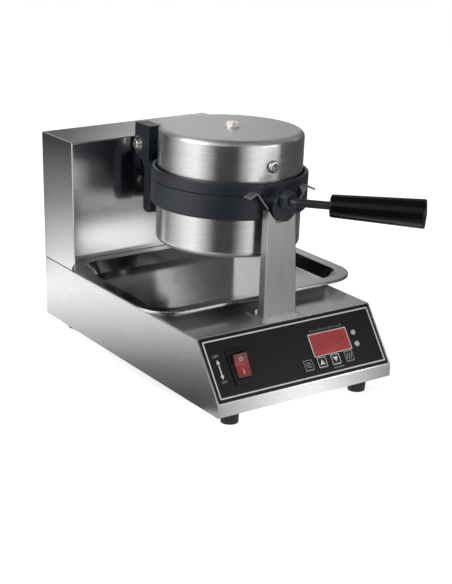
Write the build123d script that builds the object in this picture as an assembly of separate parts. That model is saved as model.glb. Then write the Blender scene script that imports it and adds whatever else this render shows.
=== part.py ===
from build123d import *
import os
from math import cos, radians, sin, sqrt

os.makedirs("parts", exist_ok=True)

# Driving sizes in millimetres, in the machine frame
# X is across, front is -Y, Z is up and 0 is the underside of the base sheet
BASE_W = 250.0
BASE_Y0 = -212.0
BASE_Y1 = 212.0
DECK_Z = 80.7
LIP_Z = 15.3
SLOPE_TOP_Y = -165.0
COLUMN_Y0 = 129.1
COLUMN_Z1 = 250.1
SHEET = 1.5
FOOT_H = 19.0
HALF_W = BASE_W / 2
IN_W = HALF_W - SHEET

# The round head turns about a front to rear axis at this height
AXIS_Z = 217.0
HEAD_LEAN = 2.0
HEAD_Y = -42.0
RING_R = 95.4
COVER_R = 88.3
COVER_T = 1.2
COVER_EDGE_R = 7.0
PARTING = 9.6
RING_GAP = 0.15
LOWER_RING_H = 29.5
UPPER_RING_H = 14.3
LOWER_COVER_H = 76.9
UPPER_COVER_H = 62.6
PLATE_T = 19.0
BOSS_R = 10.0
BOSS_H = 10.0
NECK_R = 15.6
HUB_R = 18.0
DISC_R = 16.6
DISC_Y = -160.0
HUB_Y = -140.6
CHEEK_X = 37.0
LID_Y = 113.5
LID_Z = 24.3

# Baking cells
CELL_R = 15.0
CELL_DEPTH = 14.0
CELL_PITCH = 32.5
WEB_DEPTH = 1.5

# Drip tray, which stands a little to the right of the middle
TRAY_X = 5.5
TRAY_HALF = 152.5
TRAY_Y0 = -112.0
TRAY_Y1 = 128.3
TRAY_H = 15.0
TRAY_RIM = 14.0
TRAY_FOOT_IN = 25.0
TRAY_R = 46.0
TRAY_MOUTH_R = 31.0
TRAY_FOOT_R = 22.0
TRAY_LIP = 3.4
TRAY_SHEET = 1.0

# Shaft and bearing
SHAFT_R = 11.0
SHAFT_BORE_R = 6.0
SHAFT_Y0 = 99.0
SHAFT_Y1 = 176.0
SHAFT_CLEAR = 0.05
BUSH_R = 14.0
BEARING_R = 26.0
BEARING_Y1 = 160.0
STOP_IN_R = 19.5
STOP_PIN_Y = 165.5
STUD_X = 29.0
STUD_Z = 24.0

# Front post and cradle
POST_Y0 = -154.5
POST_Y1 = -141.0
POST_FOOT_HALF = 23.0
POST_TOP_HALF = 19.0
POST_WALL = 2.0
POST_FOOT_T = 2.5
POST_SCREW_X = 14.0
POST_SCREW_Y = -128.0
CRADLE_Y = -141.5
CRADLE_W = 12.0
CRADLE_HALF_T = 1.0

# Rear yoke of the head
YOKE_Y0 = 81.0
YOKE_BACK_Y = 124.5
YOKE_TOP_Z = 51.3
YOKE_FOOT_Z = -60.0
CHEEK_IN_X = 17.9
YOKE_BOLT_X = 9.0
YOKE_BOLT_Z = -34.0
ARM_BOLT_Y = 58.5
ARM_HALF = 17.7
LID_BUSH_R = 5.6
ROD_R = 4.75

# Screw shank radii
M4 = 2.0
M5 = 2.5
M6 = 3.0
M8 = 4.0

# Move from the machine frame to the part frame
SHIFT = (-TRAY_X, 33.05, FOOT_H)


# Basic shapes
def box(x0, x1, y0, y1, z0, z1):
    centre = Pos((x0 + x1) / 2, (y0 + y1) / 2, (z0 + z1) / 2)
    return centre * Box(x1 - x0, y1 - y0, z1 - z0)


def cyl_x(x0, x1, y, z, r):
    return Pos((x0 + x1) / 2, y, z) * Rot(0, 90, 0) * Cylinder(r, x1 - x0)


def cyl_y(y0, y1, x, z, r):
    return Pos(x, (y0 + y1) / 2, z) * Rot(90, 0, 0) * Cylinder(r, y1 - y0)


def cyl_z(z0, z1, x, y, r):
    return Pos(x, y, (z0 + z1) / 2) * Cylinder(r, z1 - z0)


def prism_yz(points, x0, x1):
    outline = [(x0, y, z) for y, z in points]
    face = make_face(Polyline(outline, close=True))
    return extrude(face, amount=x1 - x0, dir=(1, 0, 0))


def prism_xz(points, y0, y1):
    outline = [(x, y0, z) for x, z in points]
    face = make_face(Polyline(outline, close=True))
    return extrude(face, amount=y1 - y0, dir=(0, 1, 0))


def rounded_box(x0, x1, y0, y1, z0, z1, r):
    base = RectangleRounded(x1 - x0, y1 - y0, r)
    return Pos((x0 + x1) / 2, (y0 + y1) / 2, z0) * extrude(base, amount=z1 - z0)


def hex_z(z0, z1, x, y, flats):
    shape = RegularPolygon(radius=flats / 2, side_count=6, major_radius=False)
    return Pos(x, y, z0) * extrude(shape, amount=z1 - z0)


def hex_x(x0, x1, y, z, flats):
    shape = extrude(RegularPolygon(flats / 2, 6, major_radius=False), amount=x1 - x0)
    return Pos(x0, y, z) * Rot(0, 90, 0) * shape


def hex_y(y0, y1, x, z, flats):
    shape = extrude(RegularPolygon(flats / 2, 6, major_radius=False), amount=y1 - y0)
    return Pos(x, y1, z) * Rot(90, 0, 0) * shape


def button_screw_z(top_z, x, y, r, head_h, shank_r, shank_to):
    head = cyl_z(top_z - head_h, top_z, x, y, r)
    shank = cyl_z(shank_to, top_z - head_h, x, y, shank_r)
    socket = hex_z(top_z - head_h * 0.6, top_z + 1, x, y, r * 0.8)
    return head + shank - socket


def head(part):
    return Pos(0, 0, AXIS_Z) * Rot(0, HEAD_LEAN, 0) * part


# The sloped control face: u across, v up the slope, n out of the face
SLOPE_LEN = sqrt((SLOPE_TOP_Y - BASE_Y0) ** 2 + (DECK_Z - LIP_Z) ** 2)
SLOPE_UP_Y = (SLOPE_TOP_Y - BASE_Y0) / SLOPE_LEN
SLOPE_UP_Z = (DECK_Z - LIP_Z) / SLOPE_LEN
PANEL = Plane(
    origin=(0, (SLOPE_TOP_Y + BASE_Y0) / 2, (DECK_Z + LIP_Z) / 2),
    x_dir=(1, 0, 0),
    z_dir=(0, -SLOPE_UP_Z, SLOPE_UP_Y),
)


def on_panel(part):
    return PANEL.location * part


def panel_box(u, v, w, h, n0, n1, r=0.0):
    face = RectangleRounded(w, h, r) if r else Rectangle(w, h)
    return Pos(u, v, n0) * extrude(face, amount=n1 - n0)


def panel_pin(u, v, n0, n1, r):
    return cyl_z(n0, n1, u, v, r)


# Positions on the control face
ROCKER_U = -80.0
ROCKER_V = -1.0
DISPLAY_U = 50.2
DISPLAY_V = 2.6
DISPLAY_W = 54.0
DISPLAY_H = 26.0
KEY_V = -19.1
KEYS = {"key_set": 9.5, "key_up": 29.5, "key_down": 49.5, "key_heat": 69.5}
KEY_SIZE = 13.0
LAMPS = [(87.2, 7.8), (87.2, -6.6)]
BOARD_N = -10.6


# Sheet metal base
def base_housing():
    side = [
        (BASE_Y0, 0),
        (BASE_Y0, LIP_Z),
        (SLOPE_TOP_Y, DECK_Z),
        (BASE_Y1, DECK_Z),
        (BASE_Y1, 0),
    ]
    shell = prism_yz(side, -HALF_W, HALF_W)
    long_top = [
        e
        for e in shell.edges().filter_by(Axis.Y)
        if abs(e.center().Z - DECK_Z) < 0.1
    ]
    shell = fillet(long_top, 2.2)
    shell -= box(-IN_W, IN_W, -300, BASE_Y1 - SHEET, -1, DECK_Z - SHEET)
    flange = 12.0
    for s in (-1, 1):
        x0, x1 = sorted((s * IN_W, s * (IN_W - flange)))
        shell += box(x0, x1, -197.5, BASE_Y1 - SHEET, SHEET, 2 * SHEET)
    shell += box(-IN_W, IN_W, BASE_Y1 - SHEET - flange, BASE_Y1 - SHEET, SHEET, 2 * SHEET)
    for x, y in base_screw_spots():
        shell -= cyl_z(1, 4, x, y, M4)
    for x, y in foot_spots():
        shell -= cyl_z(1, 4, x, y, FOOT_HOLE_R)
    for x in (-POST_SCREW_X, POST_SCREW_X):
        shell -= cyl_z(DECK_Z - 3, DECK_Z + 1, x, POST_SCREW_Y, M5)
    for x, y in column_screw_spots():
        shell -= cyl_z(DECK_Z - 3, DECK_Z + 1, x, y, M4)
    shell -= cyl_z(DECK_Z - 3, DECK_Z + 1, 0, WIRE_HOLE_Y, WIRE_HOLE_R)
    shell -= cyl_y(BASE_Y1 - 3, BASE_Y1 + 1, GLAND_X, GLAND_Z, GLAND_R)
    return shell


def base_screw_spots():
    return [(x, y) for x in (-117.0, 117.0) for y in (-140.0, 0.0, 140.0)]


def foot_spots():
    return [(x, y) for x in (-93.0, 93.0) for y in (-188.0, 188.0)]


def column_screw_spots():
    return [(x, y) for x in (-117.0, 117.0) for y in (148.0, 192.0)]


GLAND_X = -85.0
GLAND_Z = 38.0
GLAND_R = 8.0
CORD_R = 4.2
WIRE_HOLE_Y = 180.0
WIRE_HOLE_R = 13.0
FOOT_HOLE_R = 3.2
SCREW_HEAD_R = 3.6


def front_panel():
    uy, uz = SLOPE_UP_Y, SLOPE_UP_Z
    top_z = DECK_Z - SHEET
    top_y = SLOPE_TOP_Y - SHEET * uy / uz
    low_y = BASE_Y0 + SHEET * uz
    low_z = LIP_Z - SHEET * uy

    def inner_y(z):
        return low_y + (z - low_z) * uy / uz

    def inner_z(y):
        return low_z + (y - low_y) * uz / uy

    points = [
        (top_y, top_z),
        (BASE_Y0, LIP_Z),
        (BASE_Y0, 0),
        (BASE_Y0 + SHEET, 0),
        (BASE_Y0 + SHEET, SHEET),
        (-198.0, SHEET),
        (-198.0, 2 * SHEET),
        (BASE_Y0 + SHEET, 2 * SHEET),
        (BASE_Y0 + SHEET, inner_z(BASE_Y0 + SHEET)),
        (inner_y(top_z - SHEET), top_z - SHEET),
        (-150.0, top_z - SHEET),
        (-150.0, top_z),
    ]
    panel = prism_yz(points, -IN_W, IN_W)
    cuts = [panel_box(ROCKER_U, ROCKER_V, 22.0, 34.0, -4, 2)]
    cuts.append(panel_box(DISPLAY_U, DISPLAY_V, 46.0, 18.0, -4, 2))
    for u in KEYS.values():
        cuts.append(panel_pin(u, KEY_V, -4, 2, 3.0))
    for u, v in LAMPS:
        cuts.append(panel_pin(u, v, -4, 2, 2.5))
    for cut in cuts:
        panel -= on_panel(cut)
    return panel


def bottom_plate():
    plate = box(-IN_W + 0.1, IN_W - 0.1, BASE_Y0 + SHEET + 0.1, BASE_Y1 - SHEET - 0.1, 0, SHEET)
    for x, y in base_screw_spots():
        plate -= cyl_z(-1, 3, x, y, M4)
    for x, y in foot_spots():
        plate -= cyl_z(-1, 3, x, y, FOOT_HOLE_R)
    for row in (-60.0, 60.0):
        for k in range(7):
            plate -= box(row - 22, row + 22, -40 + 14 * k, -35 + 14 * k, -1, 3)
    return plate


def screw_up(x, y, z0, head_r, head_h, shank_r, reach):
    head_part = cyl_z(z0 - head_h, z0, x, y, head_r)
    head_part -= hex_z(z0 - head_h - 1, z0 - head_h * 0.45, x, y, head_r * 0.8)
    return head_part + cyl_z(z0, z0 + reach, x, y, shank_r)


def bottom_plate_screws():
    return [screw_up(x, y, 0, SCREW_HEAD_R, 2.0, M4, 8.0) for x, y in base_screw_spots()]


def foot(x, y):
    bottom = Pos(x, y, -FOOT_H) * Circle(10.5)
    top = Pos(x, y, 0) * Circle(12.0)
    body = loft([bottom.face(), top.face()])
    body -= cyl_z(-FOOT_H - 1, -11, x, y, 5.4)
    return body - cyl_z(-12, 1, x, y, M6)


def rubber_feet():
    return [foot(x, y) for x, y in foot_spots()]


def foot_screws():
    return [screw_up(x, y, -11, 5.0, 3.5, M6, 22.0) for x, y in foot_spots()]


# Rear column
def column_shell():
    shell = box(-HALF_W, HALF_W, COLUMN_Y0, BASE_Y1, DECK_Z, COLUMN_Z1)
    outer = [e for e in shell.edges() if e.center().Z > COLUMN_Z1 - 0.1]
    upright = [e for e in shell.edges().filter_by(Axis.Z) if e.center().Y < COLUMN_Y0 + 1]
    shell = fillet(outer + upright, 1.8)
    shell -= box(-IN_W, IN_W, COLUMN_Y0 + SHEET, BASE_Y1 + 1, DECK_Z - 1, COLUMN_Z1 - SHEET)
    lip = 11.0
    back = BASE_Y1 - SHEET
    for s in (-1, 1):
        x0, x1 = sorted((s * IN_W, s * (IN_W - lip)))
        shell += box(x0, x1, back - SHEET, back, DECK_Z + 10, COLUMN_Z1 - SHEET)
        shell += box(x0, x1, COLUMN_Y0 + SHEET, back - SHEET, DECK_Z, DECK_Z + SHEET)
    shell -= cyl_y(COLUMN_Y0 - 1, COLUMN_Y0 + 3, 0, AXIS_Z, BUSH_R)
    for x, z in back_screw_spots():
        shell -= cyl_y(back - 4, back + 1, x, z, M4)
    for x, y in column_screw_spots():
        shell -= cyl_z(DECK_Z - 1, DECK_Z + 3, x, y, M4)
    return shell


def back_screw_spots():
    return [(x, z) for x in (-118.0, 118.0) for z in (100.0, 166.0, 236.0)]


def column_back_cover():
    plate = box(-IN_W, IN_W, BASE_Y1 - SHEET, BASE_Y1, DECK_Z, COLUMN_Z1 - SHEET)
    for x, z in back_screw_spots():
        plate -= cyl_y(BASE_Y1 - 3, BASE_Y1 + 1, x, z, M4)
    half_slot = 30.0
    for side in (-46.0, 46.0):
        for k in range(8):
            z = 132 + 11 * k
            plate -= box(side - half_slot, side + half_slot, BASE_Y1 - 3, BASE_Y1 + 1, z, z + 4.2)
    return plate


def screw_back(x, y, z, head_r, head_h, shank_r, reach):
    part = cyl_y(y, y + head_h, x, z, head_r) + cyl_y(y - reach, y, x, z, shank_r)
    return part - hex_y(y + head_h * 0.45, y + head_h + 1, x, z, head_r * 0.8)


def back_cover_screws():
    return [screw_back(x, BASE_Y1, z, SCREW_HEAD_R, 2.2, M4, 8.0) for x, z in back_screw_spots()]


def column_screws():
    spots = column_screw_spots()
    top = DECK_Z + 4.0
    return [button_screw_z(top, x, y, SCREW_HEAD_R, 2.5, M4, DECK_Z - 6) for x, y in spots]


# Bearing in the column for the turning head
def bearing_housing():
    y0 = COLUMN_Y0 + SHEET
    part = rounded_box(-36, 36, -31, 31, 0, 6, 6)
    part = Pos(0, y0 + 6, AXIS_Z) * Rot(90, 0, 0) * part
    part += cyl_y(y0 + 6, BEARING_Y1, 0, AXIS_Z, BEARING_R)
    stop = cyl_y(BEARING_Y1, BEARING_Y1 + 11, 0, AXIS_Z, BEARING_R)
    stop -= cyl_y(BEARING_Y1 - 1, BEARING_Y1 + 12, 0, AXIS_Z, STOP_IN_R)
    stop -= box(-30, 30, BEARING_Y1 - 1, BEARING_Y1 + 12, AXIS_Z - 3.55, AXIS_Z + 30)
    part += stop
    part -= cyl_y(y0 - 1, BEARING_Y1 + 1, 0, AXIS_Z, BUSH_R)
    for x, z in bearing_spots():
        part -= cyl_y(y0 - 1, y0 + 7, x, z, M6)
    return part


def bearing_spots():
    return [(x, AXIS_Z + z) for x in (-STUD_X, STUD_X) for z in (-STUD_Z, STUD_Z)]


def bearing_studs():
    y0 = COLUMN_Y0 + SHEET
    out = []
    for x, z in bearing_spots():
        out.append(cyl_y(y0, y0 + 14, x, z, M6) + hex_y(y0 + 6, y0 + 11, x, z, 10))
    return out


def bearing_bush():
    part = cyl_y(COLUMN_Y0, BEARING_Y1, 0, AXIS_Z, BUSH_R)
    return part - cyl_y(COLUMN_Y0 - 1, BEARING_Y1 + 1, 0, AXIS_Z, SHAFT_R + SHAFT_CLEAR)


# Front rest
CRADLE = [(-46, 14.2), (-35.5, 19.3), (-7.8, -17.5), (7.8, -17.5), (35.5, 19.3), (46, 14.2)]


def cradle():
    line = FilletPolyline(*CRADLE, radius=2.6)
    face = make_face(offset(line, amount=CRADLE_HALF_T, side=Side.BOTH))
    strip = extrude(face, amount=CRADLE_W)
    return Pos(0, CRADLE_Y, AXIS_Z) * Rot(90, 0, 0) * strip


def front_post():
    z0 = DECK_Z + POST_FOOT_T
    z = AXIS_Z
    foot, top = POST_FOOT_HALF, POST_TOP_HALF
    outer = [(-foot, z0), (foot, z0), (top, z - 4), (-top, z - 4)]
    post = prism_xz(outer, POST_Y0, POST_Y1)
    fronts = [
        e
        for e in post.edges()
        if e.center().Y < POST_Y0 + 0.5 and abs(e.center().X) > 15
    ]
    post = fillet(fronts, 1.8)
    foot, top = foot - POST_WALL, top - POST_WALL + 0.4
    inner = [(-foot, z0 - 1), (foot, z0 - 1), (top, z - 22), (-top, z - 22)]
    post -= prism_xz(inner, POST_Y0 + POST_WALL, POST_Y1 + 1)
    valley = [(-8.4, z - 18.55), (8.4, z - 18.55), (28.9, z + 8.7), (-28.9, z + 8.7)]
    post -= prism_xz(valley, POST_Y0 - 5, POST_Y1 + 6)
    foot_plate = rounded_box(-26, 26, POST_Y0 - 3, -118, DECK_Z, z0, 3)
    for x in (-POST_SCREW_X, POST_SCREW_X):
        foot_plate -= cyl_z(DECK_Z - 1, z0 + 1, x, POST_SCREW_Y, M5)
    return post + foot_plate


def post_screws():
    spots = [(x, POST_SCREW_Y) for x in (-POST_SCREW_X, POST_SCREW_X)]
    return [button_screw_z(DECK_Z + 5.5, x, y, 4.5, 3.0, M5, DECK_Z - 8) for x, y in spots]


# Control face
def control_overlay():
    part = panel_box(0, 0.3, 245.0, 77.5, 0, 0.5, 1.5)
    part -= panel_box(ROCKER_U, ROCKER_V, 28.0, 42.0, -1, 2)
    part -= panel_box(DISPLAY_U, DISPLAY_V, DISPLAY_W, DISPLAY_H, -1, 2)
    for u in KEYS.values():
        part -= panel_box(u, KEY_V, KEY_SIZE + 0.6, KEY_SIZE + 0.6, -1, 2, 1.4)
    for u, v in LAMPS:
        part -= panel_pin(u, v, -1, 2, 2.5)
    return on_panel(part)


def display_window():
    part = panel_box(DISPLAY_U, DISPLAY_V, DISPLAY_W, DISPLAY_H, 0, 1.0)
    rim = [e for e in part.edges() if e.center().Z > 0.9]
    return on_panel(chamfer(rim, 0.4))


def display_module():
    return on_panel(panel_box(DISPLAY_U, DISPLAY_V, 45.0, 17.0, BOARD_N + 1.6, 0))


def control_board():
    part = panel_box(46.0, -1.5, 102.0, 60.0, BOARD_N, BOARD_N + 1.6)
    for u, v, w, h, d in [(10, 10, 14, 18, 12), (30, -18, 12, 12, 9), (80, 12, 16, 10, 8)]:
        part += panel_box(u, v, w, h, BOARD_N - d, BOARD_N)
    n0 = BOARD_N + 1.6
    for u in KEYS.values():
        part += panel_box(u, KEY_V, 6, 6, n0, n0 + 0.6)
    return on_panel(part)


def board_standoffs():
    spots = [(u, v) for u in (-1.0, 93.0) for v in (-28.0, 25.0)]
    return [on_panel(panel_pin(u, v, BOARD_N + 1.6, -SHEET, 3.0)) for u, v in spots]


def key_button(u):
    cap = panel_box(u, KEY_V, KEY_SIZE, KEY_SIZE, 0.7, 1.6, 1.2)
    stem = panel_pin(u, KEY_V, -7.7, 0.8, 2.4)
    return on_panel(cap + stem)


def indicator_lamps():
    out = []
    for u, v in LAMPS:
        body = panel_pin(u, v, BOARD_N + 1.6, 0.6, 2.4)
        dome = Pos(u, v, 0.6) * Sphere(2.4)
        dome -= panel_box(u, v, 6, 6, -4, 0.6)
        out.append(on_panel(body + dome))
    return out


def rocker_frame():
    part = panel_box(ROCKER_U, ROCKER_V, 28.0, 42.0, 0, 3.0, 1.5)
    rim = [e for e in part.edges() if e.center().Z > 2.9]
    part = chamfer(rim, 0.8)
    part += panel_box(ROCKER_U, ROCKER_V, 21.8, 33.8, -22, 0)
    part -= panel_box(ROCKER_U, ROCKER_V, 19.6, 31.0, -7.5, 4)
    part -= cyl_x(ROCKER_U - 12, ROCKER_U + 12, ROCKER_V, 0.5, 1.65)
    for v in (-8.0, 0.0, 8.0):
        part += panel_box(ROCKER_U, ROCKER_V + v, 6.3, 0.8, -30, -22)
    return on_panel(part)


def rocker_key():
    half = 9.4
    profile = [
        (-14.2, 5.6),
        (0, 4.4),
        (14.2, 5.6),
        (14.2, 0.5),
        (4.0, -4.5),
        (-4.0, -4.5),
        (-14.2, 0.5),
    ]
    body = prism_yz(profile, -half, half)
    edges = [e for e in body.edges() if e.center().Z > 5.5]
    body = fillet(edges, 0.6)
    body += cyl_x(-10.8, 10.8, 0, 0, 1.6)
    return on_panel(Pos(ROCKER_U, ROCKER_V, 0.5) * Rot(8, 0, 0) * body)


# Power parts inside the base
def power_relay():
    part = box(30, 80, -20, 30, SHEET, 38)
    part += box(26, 84, -24, 34, SHEET, 4)
    for k in range(3):
        part += box(36 + 15 * k, 44 + 15 * k, -14, -6, 38, 42)
    return part


def terminal_block():
    part = box(-110, -60, 120, 138, SHEET, 22)
    for k in range(4):
        part -= cyl_z(12, 23, -103.5 + 12.3 * k, 129, 3.2)
    return part


def cable_gland():
    y = BASE_Y1
    part = cyl_y(200, y, GLAND_X, GLAND_Z, GLAND_R)
    part += hex_y(204, y - SHEET, GLAND_X, GLAND_Z, 20)
    part += hex_y(y, y + 6, GLAND_X, GLAND_Z, 21)
    part += cyl_y(y + 6, y + 15, GLAND_X, GLAND_Z, 9.3)
    tip = part.edges().filter_by(GeomType.CIRCLE).sort_by(Axis.Y)[-1]
    part = fillet(tip, 2.0)
    return part - cyl_y(199, y + 16, GLAND_X, GLAND_Z, CORD_R)


# Drip tray
def tray_outline(inset, r):
    return RectangleRounded(2 * (TRAY_HALF - inset), TRAY_Y1 - TRAY_Y0 - 2 * inset, r)


def tray_at(z):
    return Pos(TRAY_X, (TRAY_Y0 + TRAY_Y1) / 2, z)


def tray_bowl(grow, z0, z1):
    low = tray_at(z0) * tray_outline(TRAY_FOOT_IN + grow, TRAY_FOOT_R - grow)
    high = tray_at(z1) * tray_outline(TRAY_RIM + grow, TRAY_MOUTH_R - grow)
    return loft([low.face(), high.face()])


def drip_tray():
    t = TRAY_SHEET
    z1 = DECK_Z + TRAY_H
    bowl = tray_bowl(0, DECK_Z, z1)
    rim = tray_at(z1 - TRAY_LIP) * extrude(tray_outline(0, TRAY_R), amount=TRAY_LIP)
    rim = fillet(rim.edges().group_by(Axis.Z)[-1], 1.4)
    under = tray_at(z1 - TRAY_LIP - 1) * extrude(tray_outline(1.5, TRAY_R - 1.5), amount=TRAY_LIP + 1 - t)
    hollow = tray_bowl(t, DECK_Z + t, z1 + t)
    return bowl + (rim - (under - bowl)) - hollow


# Round head, drawn around its own axis and leaned at the end
def disc(z0, z1, r):
    return cyl_z(z0, z1, 0, HEAD_Y, r)


def cell_spots():
    out = []
    for i in range(-2, 3):
        for j in range(-2, 3):
            x = CELL_PITCH * (i + j / 2)
            y = CELL_PITCH * j * sqrt(3) / 2
            if sqrt(x * x + y * y) < 2.1 * CELL_PITCH:
                out.append((x, y))
    return out


def plate_blank():
    part = cyl_z(-4.0, -RING_GAP, 0, 0, 86.6) + cyl_z(-PLATE_T, -4.0, 0, 0, 82.0)
    part -= cyl_z(-WEB_DEPTH, 1, 0, 0, 79.5)
    lift = (CELL_R**2 - CELL_DEPTH**2) / (2 * CELL_DEPTH)
    ball_r = CELL_DEPTH + lift
    for x, y in cell_spots():
        part -= Pos(x, y, lift) * Sphere(ball_r)
    part += cyl_z(-PLATE_T - BOSS_H, -PLATE_T, 0, 0, BOSS_R)
    return part - cyl_z(-PLATE_T - BOSS_H - 1, -PLATE_T - 1, 0, 0, M8)


def lower_half(part):
    return head(Pos(0, HEAD_Y, PARTING) * part)


def upper_half(part):
    return head(Pos(0, HEAD_Y, PARTING) * Rot(180, 0, 0) * part)


def element_blank():
    part = cyl_z(-PLATE_T - 6, -PLATE_T, 0, 0, 66.0) - cyl_z(-60, 0, 0, 0, 30.0)
    for x in (-9.0, 9.0):
        part += cyl_z(-PLATE_T - 26, -PLATE_T - 5, x, 47.0, 3.2)
    return part


def insulation_blank():
    part = cyl_z(-PLATE_T - 17, -PLATE_T - 6, 0, 0, 80.0)
    part -= cyl_z(-60, 0, 0, 0, 4.6)
    part -= cyl_z(-PLATE_T - BOSS_H - 0.4, 0, 0, 0, BOSS_R + 0.4)
    for x in (-9.0, 9.0):
        part -= cyl_z(-60, 0, x, 47.0, 3.8)
    return part


def cover_blank(height):
    cup = cyl_z(-height, -6, 0, 0, COVER_R)
    cup = fillet(cup.edges().sort_by(Axis.Z)[0], COVER_EDGE_R)
    hollow = cyl_z(-height + COVER_T, -5, 0, 0, COVER_R - COVER_T)
    hollow = fillet(hollow.edges().sort_by(Axis.Z)[0], COVER_EDGE_R - COVER_T)
    return cup - hollow - cyl_z(-height - 1, -height + 3, 0, 0, 4.1)


def ring_blank(height):
    part = cyl_z(-height, -RING_GAP, 0, 0, RING_R)
    part = fillet(part.edges().group_by(Axis.Z)[0], 2.2)
    part = fillet(part.edges().group_by(Axis.Z)[-1], 0.8)
    part -= cyl_z(-height - 1, -6, 0, 0, 91.0)
    part -= cyl_z(-7, 1, 0, 0, 83.0)
    part -= cyl_z(-4, 1, 0, 0, 87.0)
    return part


def lower_ring():
    ring = Pos(0, HEAD_Y, PARTING) * ring_blank(LOWER_RING_H)
    front = HEAD_Y - RING_R
    neck = cyl_y(-155, front + 4, 0, 0, NECK_R)
    neck += cyl_y(HUB_Y, front + 4, 0, 0, HUB_R)
    neck += cyl_y(DISC_Y, -155, 0, 0, DISC_R)
    rims = [e for e in neck.edges() if e.center().Y < DISC_Y + 0.1]
    neck = fillet(rims, 1.2)
    neck -= box(-9.4, 9.4, -170, front + 10, 0, 30)
    clear = cyl_z(-40, PARTING - 6, 0, HEAD_Y, 91.0)
    lift_off = box(-40, 40, HUB_Y - 0.7, 0, PARTING - RING_GAP, 40)
    neck = neck - clear - lift_off
    lug = box(-17.4, 17.4, 44, 94, -44, 6)
    lug -= cyl_z(-60, PARTING - 6, 0, HEAD_Y, 91.0)
    lug -= cyl_z(-60, 60, 0, HEAD_Y, 87.0)
    sides = [e for e in lug.edges().filter_by(Axis.Y) if e.center().Z < -40]
    lug = fillet(sides, 4.0)
    part = ring + neck + lug
    for x in (-YOKE_BOLT_X, YOKE_BOLT_X):
        part -= cyl_y(80, 95, x, YOKE_BOLT_Z, M8)
    return head(part)


def yoke_bolts():
    out = []
    for x in (-YOKE_BOLT_X, YOKE_BOLT_X):
        bolt = cyl_y(81, 108, x, YOKE_BOLT_Z, M8)
        bolt += hex_y(109.5, 115, x, YOKE_BOLT_Z, 13)
        bolt += cyl_y(108, 109.5, x, YOKE_BOLT_Z, 8.0)
        out.append(head(bolt))
    return out


def yoke_cheek(x0, x1):
    side = [
        (YOKE_Y0, YOKE_FOOT_Z + 4),
        (YOKE_Y0 + 4, YOKE_FOOT_Z),
        (96, YOKE_FOOT_Z),
        (100, YOKE_FOOT_Z + 4),
        (100, -38),
        (98.5, -36),
        (98.5, 2),
        (YOKE_BACK_Y - 3.5, 11),
        (YOKE_BACK_Y, 15),
        (YOKE_BACK_Y, YOKE_TOP_Z),
        (89, YOKE_TOP_Z),
        (89, 8),
        (YOKE_Y0, 4),
    ]
    return prism_yz(side, x0, x1)


def rear_yoke():
    part = box(-18, 18, 94, 108, -56, 10)
    part += yoke_cheek(-CHEEK_X, -CHEEK_IN_X) + yoke_cheek(CHEEK_IN_X, CHEEK_X)
    part += cyl_y(108, 126, 0, 0, 24.0)
    part -= box(-18, 18, 80, 130, 13.2, 60)
    part -= box(-18, 18, 80, 108.1, 10, 60)
    arch = cyl_y(88, 97, 0, -6, 36) & box(-40, 40, 88, 97, 8, 40)
    part -= arch
    tops = [e for e in part.edges().filter_by(Axis.Y) if e.center().Z > YOKE_TOP_Z - 0.3]
    part = fillet([e for e in tops if abs(e.center().X) > 30], 1.5)
    part -= cyl_y(SHAFT_Y0, 127, 0, 0, SHAFT_R)
    part -= cyl_x(-40, 40, LID_Y, LID_Z, M8)
    for x in (-YOKE_BOLT_X, YOKE_BOLT_X):
        part -= cyl_y(93, 109, x, YOKE_BOLT_Z, M8)
    return head(part)


def trunnion_shaft():
    part = cyl_y(SHAFT_Y0, SHAFT_Y1, 0, 0, SHAFT_R)
    part -= cyl_y(SHAFT_Y0 - 1, SHAFT_Y1 + 1, 0, 0, SHAFT_BORE_R)
    return head(part - cyl_x(8, 12, STOP_PIN_Y, 0, M5))


def retaining_collar():
    part = cyl_y(160.4, 170.6, 0, 0, 18.0) - cyl_y(160, 171, 0, 0, SHAFT_R)
    return head(part - cyl_x(8, 20, STOP_PIN_Y, 0, M5))


def stop_pin():
    return head(cyl_x(8, 25, STOP_PIN_Y, 0, M5))


def hinge_pin():
    outer = CHEEK_X + 2
    part = cyl_x(-outer - 4.5, -outer, LID_Y, LID_Z, 6.2)
    part = fillet(part.edges().sort_by(Axis.X)[0], 1.8)
    part += cyl_x(-outer, outer + 7, LID_Y, LID_Z, M8)
    return head(part - hex_x(-outer - 5, -outer - 2, LID_Y, LID_Z, 5))


def hinge_washers():
    out = []
    for x0, x1 in ((-CHEEK_X - 2, -CHEEK_X), (CHEEK_X, CHEEK_X + 2)):
        ring = cyl_x(x0, x1, LID_Y, LID_Z, 10.5) - cyl_x(x0 - 1, x1 + 1, LID_Y, LID_Z, M8)
        out.append(head(ring))
    return out


def hinge_nut():
    outer = CHEEK_X + 2
    part = hex_x(outer, outer + 6.5, LID_Y, LID_Z, 13)
    return head(part - cyl_x(outer - 1, outer + 8, LID_Y, LID_Z, M8))


def lower_plate():
    return lower_half(plate_blank())


def lower_element():
    return lower_half(element_blank())


def lower_insulation():
    return lower_half(insulation_blank())


def lower_cover():
    return lower_half(cover_blank(LOWER_COVER_H))


def stud_blank(height):
    return cyl_z(-height - 4.5, -PLATE_T - 1, 0, 0, M8)


def nut_blank(height):
    part = cyl_z(-height - 1.5, -height, 0, 0, 8.5)
    part += hex_z(-height - 6.5, -height - 1.5, 0, 0, 14)
    return part - cyl_z(-height - 5, -height + 1, 0, 0, M8)


def lower_stud():
    return lower_half(stud_blank(LOWER_COVER_H))


def lower_cover_nut():
    return lower_half(nut_blank(LOWER_COVER_H))


# Lid half of the head
SCREW_Z = 32.4
SCREW_ANGLES = (270, 62, 118)


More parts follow.
